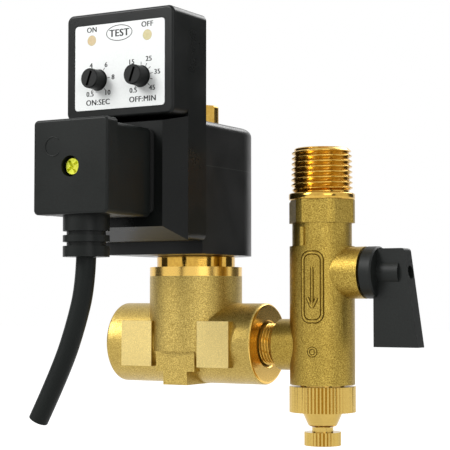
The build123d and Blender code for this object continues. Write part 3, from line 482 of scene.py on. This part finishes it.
def threadSheet(look, rows, top, bottom):
    # radius(z, t) = root + (crest - root) * flank(z, t), less the taper, cut by a cone at the free end
    # and run in from an undercut at the other
    t = np.linspace(0, 2 * np.pi, look["turnsAcross"], endpoint=False)
    z, angle = np.meshgrid(rows, t, indexing="ij")
    flank = np.clip(look["steepness"] * threadWave(z, angle, look["pitch"]) - look["rootFlat"], 0, 1)
    cone = (look["crest"] - look["lead"]) + (top - z) * look["leadSlope"]
    radius = np.minimum(look["root"] + (look["crest"] - look["root"]) * flank, cone)
    radius = radius - look["taper"] * np.clip(z - bottom, 0, None)
    fade = np.clip((z - bottom) / (look["runIn"] * look["pitch"]), 0, 1)
    floor = look["root"] - look["undercut"]
    radius = floor + (radius - floor) * fade
    return np.stack([radius * np.cos(angle), radius * np.sin(angle), z], -1)


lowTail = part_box("inlet_adapter")[0].z / mm
collarTop = -adapter["threadLength"]
collarLow = collarTop - adapter["collarHeight"]
below = turned([
    (adapter["bore"], lowTail), (adapter["tail"], lowTail), (adapter["tail"], collarLow),
    (adapter["collar"] - adapter["collarEdge"], collarLow),
    (adapter["collar"], collarLow + adapter["collarEdge"]),
    (adapter["collar"], collarTop - adapter["collarTopEdge"]),
    (adapter["collar"] - adapter["collarTopEdge"], collarTop),
], (0, 0, 0), (0, 0, 1), adapter["turnsAcross"])
above = turned([
    (adapter["bore"] + adapter["boreLead"], 0.0), (adapter["bore"], -adapter["boreLead"]),
], (0, 0, 0), (0, 0, 1), adapter["turnsAcross"])
rows = threadRows(collarTop, 0.0, adapter["pitch"], adapter["rowsPerPitch"])
shell = np.concatenate([below, threadSheet(adapter, rows, 0.0, collarTop), above])
inletPiece = buildPiece("inletAdapterThreaded", [(shell, True, True)], finishes["turnedBrass"],
                        "valve", 50)
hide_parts("inlet_adapter")
print("inlet adapter made")


# threads of the nipple between the strainer body and the solenoid valve
nipple = {
    "crest": 7.15, "root": 6.5, "end": 6.0, "pitch": 1.15, "steepness": 1.3, "gap": 0.05, "length": 4.3,
    "drop": -66.5, "across": 96, "rowsPerPitch": 10,
}
nippleLow = bodyEnd + nipple["gap"]
rows = threadRows(nippleLow, nippleLow + nipple["length"], nipple["pitch"], nipple["rowsPerPitch"])
t = np.linspace(0, 2 * np.pi, nipple["across"], endpoint=False)
x, angle = np.meshgrid(rows, t, indexing="ij")
flank = np.clip(nipple["steepness"] * threadWave(x, angle, nipple["pitch"]), 0, 1)
radius = nipple["root"] + (nipple["crest"] - nipple["root"]) * flank
radius[0], radius[-1] = nipple["end"], nipple["end"]
sleeve = np.stack([x, radius * np.cos(angle), nipple["drop"] + radius * np.sin(angle)], -1)
buildPiece("nippleThread", [(sleeve, False, True)], finishes["turnedAcross"], "valve", 50)
print("nipple thread made")


# cast relief on the strainer barrel: frame, flow arrow and ring mark
relief = {
    "barrel": 11.0, "facing": 8.0,
    "frameTop": -35.6, "frameLow": -58.4, "frameWidth": 6.8, "corner": 2.6, "bead": 0.45, "shade": 0.78,
    "arrowTop": -40.0, "arrowLow": -54.0, "arrowHead": 3.6, "arrowSpread": 1.7,
    "arrowBead": 0.4, "arrowShade": 0.68,
    "ringPlace": -68.5, "ringRadius": 1.3, "ringBead": 0.3, "ringShade": 0.55,
    "shadeRise": 0.09, "frameSteps": 96, "ringSteps": 32, "strokeSteps": 24,
}


def onBarrel(across, z):
    # across is the distance round the barrel from the relief's middle: angle = facing + across / radius
    angle = math.radians(relief["facing"]) + across / relief["barrel"]
    outward = np.stack([np.sin(angle), -np.cos(angle), np.zeros_like(angle)], -1)
    return outward * relief["barrel"] + np.stack([0 * z, 0 * z, z], -1), outward


def roundedFrame(width, low, high, corner, steps):
    # rounded rectangle: across(t) = sign(cos t) * (width / 2 - corner) + corner * cos t, and the same
    # upwards with sin t and the height
    turn = np.linspace(0, 2 * np.pi, steps, endpoint=False) + np.pi / 4
    cx, cz = width / 2 - corner, (high - low) / 2 - corner
    cornerX = np.sign(np.cos(turn)) * cx
    cornerZ = np.sign(np.sin(turn)) * cz
    return cornerX + corner * np.cos(turn), (high + low) / 2 + cornerZ + corner * np.sin(turn)


reliefSheets = []
shadeSheets = []


def raised(across, z, radius, shade, closedPath):
    # a bead on the barrel, with a low dark border under it: painted shade at the bead's foot, with some
    # patina in the recess
    path, outward = onBarrel(across, z)
    reliefSheets.append((bead(path, outward, radius, closedPath), closedPath, True))
    shadeSheets.append((bead(path, outward, shade, closedPath, rise=relief["shadeRise"]), closedPath, True))


def arrowStroke(start, end):
    # a straight bead with round ends
    s = np.linspace(0, 1, relief["strokeSteps"])
    ends = roundEnds(relief["strokeSteps"], 12)
    raised(start[0] + (end[0] - start[0]) * s, start[1] + (end[1] - start[1]) * s,
           relief["arrowBead"] * ends, relief["arrowShade"] * ends, False)


across, z = roundedFrame(relief["frameWidth"], relief["frameLow"], relief["frameTop"], relief["corner"],
                         relief["frameSteps"])
raised(across, z, relief["bead"], relief["shade"], True)
spin = np.linspace(0, 2 * np.pi, relief["ringSteps"], endpoint=False)
raised(relief["ringRadius"] * np.cos(spin), relief["ringPlace"] + relief["ringRadius"] * np.sin(spin),
       relief["ringBead"], relief["ringShade"], True)
tip = (0.0, relief["arrowLow"])
barb = relief["arrowLow"] + relief["arrowHead"]
for start in ((0.0, relief["arrowTop"]), (-relief["arrowSpread"], barb), (relief["arrowSpread"], barb)):
    arrowStroke(start, tip)
buildPiece("castRelief", reliefSheets, finishes["castBrass"], "valve", 60)
buildPiece("castShade", shadeSheets, finishes["castShade"], "valve", 60)
print("cast relief made")


# printing on the label
labelLow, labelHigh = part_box("face_label")
labelFace = labelLow.y / mm
labelX = (labelLow.x + labelHigh.x) / 2 / mm
labelZ = (labelLow.z + labelHigh.z) / 2 / mm
printing = {
    "proud": 0.035, "sunk": 0.02, "spacing": 1.08, "stroke": 0.2, "tickIn": 3.75, "tickOut": 4.75,
    "oval": (5.05, 2.55), "ovalZ": 10.8, "ovalLine": 0.12, "ovalSteps": 96,
    # angles of the ticks round each dial
    "dials": {
        "on_time_dial": (120, 56, 7, -50, 234),
        "off_time_dial": (126, 88, 60, 37, 10, -15, -43, 238),
    },
    # word, place across and up from the label's middle, letter size, boldness
    "words": [
        ("ON", -11.0, 12.7, 2.5, 0.07), ("OFF", 11.0, 12.7, 2.5, 0.07), ("TEST", 0.0, 10.8, 3.4, 0.12),
        ("4", -11.2, 0.75, 2.3, 0.08), ("6", -5.2, 0.6, 2.3, 0.08), ("8", -2.4, -3.7, 2.3, 0.08),
        ("10", -4.4, -8.7, 2.3, 0.08), ("0.5", -11.6, -8.8, 2.3, 0.08),
        ("ON:SEC", -8.4, -11.7, 2.6, 0.08), ("OFF:MIN", 9.2, -11.7, 2.6, 0.08),
        ("15", 5.0, 0.7, 2.3, 0.08), ("25", 11.6, 1.3, 2.3, 0.08), ("35", 14.9, -3.2, 2.3, 0.08),
        ("45", 12.9, -8.3, 2.3, 0.08), ("0.5", 5.6, -8.7, 2.3, 0.08),
    ],
}


def wordMesh(text, size):
    curve = bpy.data.curves.new("word", "FONT")
    curve.body = text
    curve.size = size
    curve.align_x = "CENTER"
    curve.align_y = "CENTER"
    curve.extrude = printing["proud"]
    curve.space_character = printing["spacing"]
    curve.resolution_u = 4
    holder = bpy.data.objects.new("word", curve)
    scene.collection.objects.link(holder)
    # the text becomes a mesh before it is placed on the label
    evaluated = holder.evaluated_get(bpy.context.evaluated_depsgraph_get())
    mesh = bpy.data.meshes.new_from_object(evaluated)
    points = np.array([v.co[:] for v in mesh.vertices])
    faces = [list(p.vertices) for p in mesh.polygons]
    bpy.data.objects.remove(holder)
    return points, faces


wordPoints, wordFaces, count = [], [], 0
for text, x, z, size, bold in printing["words"]:
    points, faces = wordMesh(text, size)
    middle = (points.max(0) + points.min(0)) / 2
    points = points - [middle[0], middle[1], 0]
    # printed twice, a little apart, which makes the strokes bolder
    for shift in (-bold, bold):
        placed = np.stack([labelX + x + shift + points[:, 0], labelFace - points[:, 2],
                           labelZ + z + points[:, 1]], -1)
        wordPoints.append(placed * mm)
        wordFaces += [[index + count for index in face] for face in faces]
        count += len(points)
mesh = bpy.data.meshes.new("labelWords")
mesh.from_pydata(np.concatenate(wordPoints).tolist(), [], wordFaces)
mesh.materials.append(finishes["ink"])
labelWords = bpy.data.objects.new("labelWords", mesh)
scene.collection.objects.link(labelWords)
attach(labelWords, "head")


def flatBar(x1, z1, x2, z2, width):
    # a thin bar on the label: a flat section carried from end to end and closed at both ends
    along = np.array([x2 - x1, 0, z2 - z1], float)
    along /= np.linalg.norm(along)
    side = np.array([-along[2], 0, along[0]]) * width / 2
    depth = np.array([0, -printing["proud"], 0])
    section = np.stack([side - depth, side + depth, -side + depth, -side - depth])
    ends = np.array([[x1, labelFace, z1], [x2, labelFace, z2]])
    middleLine = ends[:, None] + section[None]
    return np.concatenate([np.repeat(ends[:1, None], 4, 1), middleLine, np.repeat(ends[1:, None], 4, 1)])


scaleSheets = []
for dialName, angles in printing["dials"].items():
    low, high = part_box(dialName)
    cx, cz = (low.x + high.x) / 2 / mm, (low.z + high.z) / 2 / mm
    for angle in angles:
        c, s = math.cos(math.radians(angle)), math.sin(math.radians(angle))
        scaleSheets.append((flatBar(cx + printing["tickIn"] * c, cz + printing["tickIn"] * s,
                                    cx + printing["tickOut"] * c, cz + printing["tickOut"] * s,
                                    printing["stroke"]), False, True))
buildPiece("dialScales", scaleSheets, finishes["ink"], "head", 40)

# outline of the test button, printed round it
loop = np.linspace(0, 2 * np.pi, printing["ovalSteps"], endpoint=False)
a, b = printing["oval"]
line, proud, sunk = printing["ovalLine"], printing["proud"], printing["sunk"]
ovalSheet = np.stack([
    np.stack([labelX + (a + w) * np.cos(loop), np.full_like(loop, labelFace - d),
              labelZ + printing["ovalZ"] + (b + w) * np.sin(loop)], -1)
    for w, d in ((-line, -sunk), (-line, proud), (line, proud), (line, -sunk))], 1)
buildPiece("testOutline", [(ovalSheet, True, True)], finishes["ink"], "head", 40)
print("label printed")


# moulded mark on the plug
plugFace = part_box("plug_housing")[0].y / mm
plugMark = {"x": -56.4, "z": -3.2, "radius": 3.0, "bead": 0.22, "opening": 35, "steps": 48}
arc = np.linspace(math.radians(plugMark["opening"]), math.radians(360 - plugMark["opening"]),
                  plugMark["steps"])
path = np.stack([plugMark["x"] + plugMark["radius"] * np.cos(arc), np.full_like(arc, plugFace),
                 plugMark["z"] + plugMark["radius"] * np.sin(arc)], -1)
outward = np.tile([0.0, -1.0, 0.0], (plugMark["steps"], 1))
ridge = bead(path, outward, plugMark["bead"] * roundEnds(plugMark["steps"], 8), False)
buildPiece("plugMark", [(ridge, False, True)], finishes["plugPlastic"], "head", 60)
print("moulded marks made")


# cord, with the ends of its cores
cordLook = {
    "route": [(-49.9, -67.0, -37.7), (-50.3, -67.0, -46.7), (-53.2, -67.0, -57.7), (-58.9, -67.0, -72.7),
              (-68.3, -67.0, -89.7)],
    "radius": 3.2, "length": 55.8,
    "cores": ("coreBrown", "coreBlue", "coreGreen"), "coreCircle": 1.35, "coreTurn": 0.4,
    # short rods at the cord's end: radius, inner end, rim and middle of the outer end along the cord
    "core": (1.12, -0.6, 0.04, 0.05), "copper": (0.6, -0.5, 0.07, 0.09),
}
curve = bpy.data.curves.new("cordRun", "CURVE")
curve.dimensions = "3D"
spline = curve.splines.new("NURBS")
spline.points.add(len(cordLook["route"]) - 1)
for place, point in zip(spline.points, cordLook["route"]):
    place.co = (point[0] * mm, point[1] * mm, point[2] * mm, 1.0)
spline.order_u = 3
spline.use_endpoint_u = True
spline.resolution_u = 24
curve.bevel_depth = cordLook["radius"] * mm
curve.bevel_resolution = 10
curve.use_fill_caps = True
curve.materials.append(finishes["cordJacket"])
cordPiece = bpy.data.objects.new("cordRun", curve)
scene.collection.objects.link(cordPiece)
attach(cordPiece, "head")
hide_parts("cord")

# the cut ends of the cores and their copper, in a circle on the cord's last section
lastPoint, before = np.array(cordLook["route"][-1]), np.array(cordLook["route"][-2])
direction = (lastPoint - before) / np.linalg.norm(lastPoint - before)
axis, side, other = axisFrame(direction)


def rodEnd(look, centre, steps):
    radius, low, rim, top = look
    return turned([(0, low), (radius, low), (radius, rim), (0, top)], centre, axis, steps)


for index, coreFinish in enumerate(cordLook["cores"]):
    number = str(index + 1)
    turn = 2 * math.pi * index / len(cordLook["cores"]) + cordLook["coreTurn"]
    centre = lastPoint + cordLook["coreCircle"] * (math.cos(turn) * side + math.sin(turn) * other)
    core = [(rodEnd(cordLook["core"], centre, 32), False, True)]
    copper = [(rodEnd(cordLook["copper"], centre, 24), False, True)]
    buildPiece("core" + number, core, finishes[coreFinish], "head")
    buildPiece("conductor" + number, copper, finishes["copper"], "head")
print("cord made")


# camera: away from the part at an azimuth, moved a little to one side and tilted upwards
camera = {"azimuth": 30.0, "side": -32.9, "away": 485.0, "height": -50.5, "tilt": 2.9, "lens": 114.56}
theta, tilt = math.radians(camera["azimuth"]), math.radians(camera["tilt"])
eye = bpy.data.cameras.new("camera")
eye.lens = camera["lens"]
eye.sensor_width = 36.0
eye.clip_start = 0.01
eyeHolder = bpy.data.objects.new("camera", eye)
eyeHolder.location = (
    (camera["side"] * math.cos(theta) + camera["away"] * math.sin(theta)) * mm,
    (camera["side"] * math.sin(theta) - camera["away"] * math.cos(theta)) * mm,
    camera["height"] * mm)
ahead = Vector((-math.sin(theta) * math.cos(tilt), math.cos(theta) * math.cos(tilt), math.sin(tilt)))
eyeHolder.rotation_euler = ahead.to_track_quat("-Z", "Y").to_euler()
scene.collection.objects.link(eyeHolder)
scene.camera = eyeHolder


def seesBackground(tree):
    # 1 for camera, glossy and transmission rays, else 0
    rays = tree.nodes.new("ShaderNodeLightPath")
    mirrored = mathNode(tree, "MAXIMUM", rays.outputs["Is Glossy Ray"], rays.outputs["Is Transmission Ray"])
    return mathNode(tree, "MAXIMUM", rays.outputs["Is Camera Ray"], mirrored)


# floor, far enough below for the caps to stay in sight when they are unscrewed
floorLook = {"half": 2.0, "under": 0.012, "colour": (0.35, 0.35, 0.35, 1.0), "lift": 0.86}
floorZ = cadBox[0][2] - floorLook["under"]
h = floorLook["half"]
mesh = bpy.data.meshes.new("floor")
mesh.from_pydata([(-h, -h, floorZ), (h, -h, floorZ), (h, h, floorZ), (-h, h, floorZ)], [], [(0, 1, 2, 3)])
floorMaterial = bpy.data.materials.new("paleFloor")
floorMaterial.use_nodes = True
tree = floorMaterial.node_tree
tree.nodes.clear()
out = tree.nodes.new("ShaderNodeOutputMaterial")
plain = tree.nodes.new("ShaderNodeBsdfDiffuse")
plain.inputs["Color"].default_value = floorLook["colour"]
glow = tree.nodes.new("ShaderNodeEmission")
lift = mathNode(tree, "MULTIPLY", seesBackground(tree), floorLook["lift"])
tree.links.new(lift, glow.inputs["Strength"])
both = tree.nodes.new("ShaderNodeAddShader")
tree.links.new(plain.outputs[0], both.inputs[0])
tree.links.new(glow.outputs[0], both.inputs[1])
tree.links.new(both.outputs[0], out.inputs["Surface"])
mesh.materials.append(floorMaterial)
floorPiece = bpy.data.objects.new("floor", mesh)
scene.collection.objects.link(floorPiece)

# the world is white where it is seen or mirrored, and dimmer as a light
worldLook = {"colour": (1.0, 1.0, 1.0, 1.0), "light": 0.5, "seen": 0.5}
world = bpy.data.worlds.new("studio")
scene.world = world
world.use_nodes = True
tree = world.node_tree
tree.nodes.clear()
out = tree.nodes.new("ShaderNodeOutputWorld")
sky = tree.nodes.new("ShaderNodeBackground")
sky.inputs["Color"].default_value = worldLook["colour"]
extra = mathNode(tree, "MULTIPLY", seesBackground(tree), worldLook["seen"])
tree.links.new(mathNode(tree, "ADD", extra, worldLook["light"]), sky.inputs["Strength"])
tree.links.new(sky.outputs[0], out.inputs["Surface"])

lamps = {
    "keyLight": {"place": (-0.4, -0.55, 0.4), "size": 0.35, "power": 4.6},
    "fillLight": {"place": (0.55, -0.5, 0.2), "size": 0.4, "power": 1.2},
    "backLight": {"place": (0.1, 0.6, 0.5), "size": 0.4, "power": 3.0},
}
target = Vector((-0.03, -0.01, -0.03))
for name, lamp in lamps.items():
    light = bpy.data.lights.new(name, "AREA")
    light.size = lamp["size"]
    light.energy = lamp["power"]
    holder = bpy.data.objects.new(name, light)
    holder.location = lamp["place"]
    holder.rotation_euler = (target - Vector(lamp["place"])).to_track_quat("-Z", "Y").to_euler()
    scene.collection.objects.link(holder)

# dark cards beside the object give the turned metal its dark reflections; only reflections see them
cards = {
    "cardLeft": {"place": (-0.53, -0.13, -0.05), "half": (0.13, 0.25)},
    "cardRight": {"place": (0.44, -0.19, -0.05), "half": (0.06, 0.25)},
    "cardBack": {"place": (0.36, 0.6, 0.0), "half": (0.22, 0.4)},
}
cardMaterial = bpy.data.materials.new("darkCard")
cardMaterial.use_nodes = True
cardShader = cardMaterial.node_tree.nodes["Principled BSDF"]
cardShader.inputs["Base Color"].default_value = (0.05, 0.05, 0.05, 1.0)
cardShader.inputs["Roughness"].default_value = 1.0
for name, card in cards.items():
    centre = np.array(card["place"])
    flat = np.array([-centre[1], centre[0], 0.0]) / np.linalg.norm(centre[:2]) * card["half"][0]
    up = np.array([0.0, 0.0, card["half"][1]])
    mesh = bpy.data.meshes.new(name)
    corners = [centre - flat - up, centre + flat - up, centre + flat + up, centre - flat + up]
    mesh.from_pydata([corner.tolist() for corner in corners], [], [(0, 1, 2, 3)])
    mesh.materials.append(cardMaterial)
    holder = bpy.data.objects.new(name, mesh)
    holder.visible_camera = False
    holder.visible_shadow = False
    holder.visible_diffuse = False
    scene.collection.objects.link(holder)

scene.view_settings.view_transform = "Standard"
print("camera and light ready")
